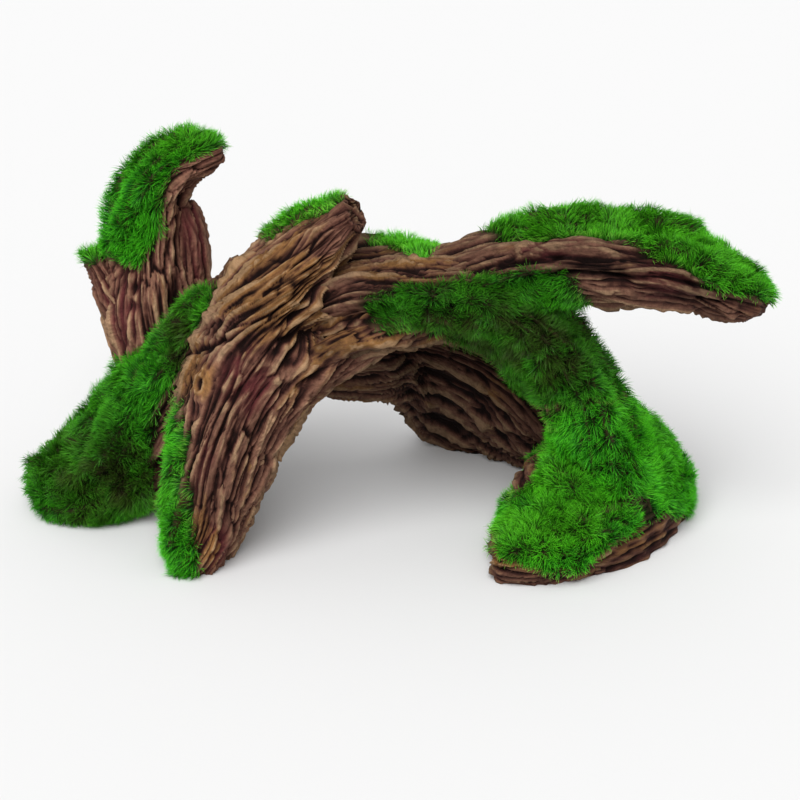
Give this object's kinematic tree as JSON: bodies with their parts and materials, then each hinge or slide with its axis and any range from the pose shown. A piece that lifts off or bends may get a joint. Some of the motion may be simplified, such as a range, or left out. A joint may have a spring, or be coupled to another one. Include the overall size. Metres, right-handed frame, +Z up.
{
  "type": "aquarium driftwood root",
  "caption": "Branching driftwood arch with a bent trunk, a spreading foot, two raised limbs and mats of green moss; it stands flat on a tank floor.",
  "frame": {"origin": "middle of the object's box, on the plane its feet stand on", "axes": "+X to the right along the length, from the left root to the right branch's tip; +Y to the back; +Z up"},
  "size_m": [0.2514, 0.1166, 0.1336],
  "materials": {
    "trunk_bark": "rough bark in long strands, maroon brown with ochre ridges",
    "arch_leg_bark": "rough bark in long strands, maroon brown with ochre ridges",
    "right_branch_bark": "rough bark in long strands, maroon brown with ochre ridges",
    "rear_root_bark": "rough bark in long strands, dark brown with ochre ridges",
    "left_root_bark": "rough dark bark",
    "left_branch_bark": "rough bark in long strands, reddish brown",
    "moss_left_branch": "soft green moss, pale at the tips",
    "moss_left_root": "soft green moss, pale at the tips",
    "moss_trunk_flank": "soft green moss, pale at the tips",
    "moss_stub": "soft green moss, pale at the tips",
    "moss_saddle": "soft green moss, pale at the tips",
    "moss_right_branch": "soft green moss, pale at the tips",
    "moss_arch": "soft green moss, deeper green in the shade",
    "moss_foot": "soft green moss, pale at the tips"
  },
  "bodies": {
    "root": {"trunk": "trunk_bark", "arch_leg": "arch_leg_bark", "right_branch": "right_branch_bark", "rear_root": "rear_root_bark", "left_root": "left_root_bark", "left_branch": "left_branch_bark", "moss_left_branch": "moss_left_branch", "moss_left_root": "moss_left_root", "moss_trunk_flank": "moss_trunk_flank", "moss_stub": "moss_stub", "moss_saddle": "moss_saddle", "moss_right_branch": "moss_right_branch", "moss_arch": "moss_arch", "moss_foot": "moss_foot"}
  },
  "joints": []
}
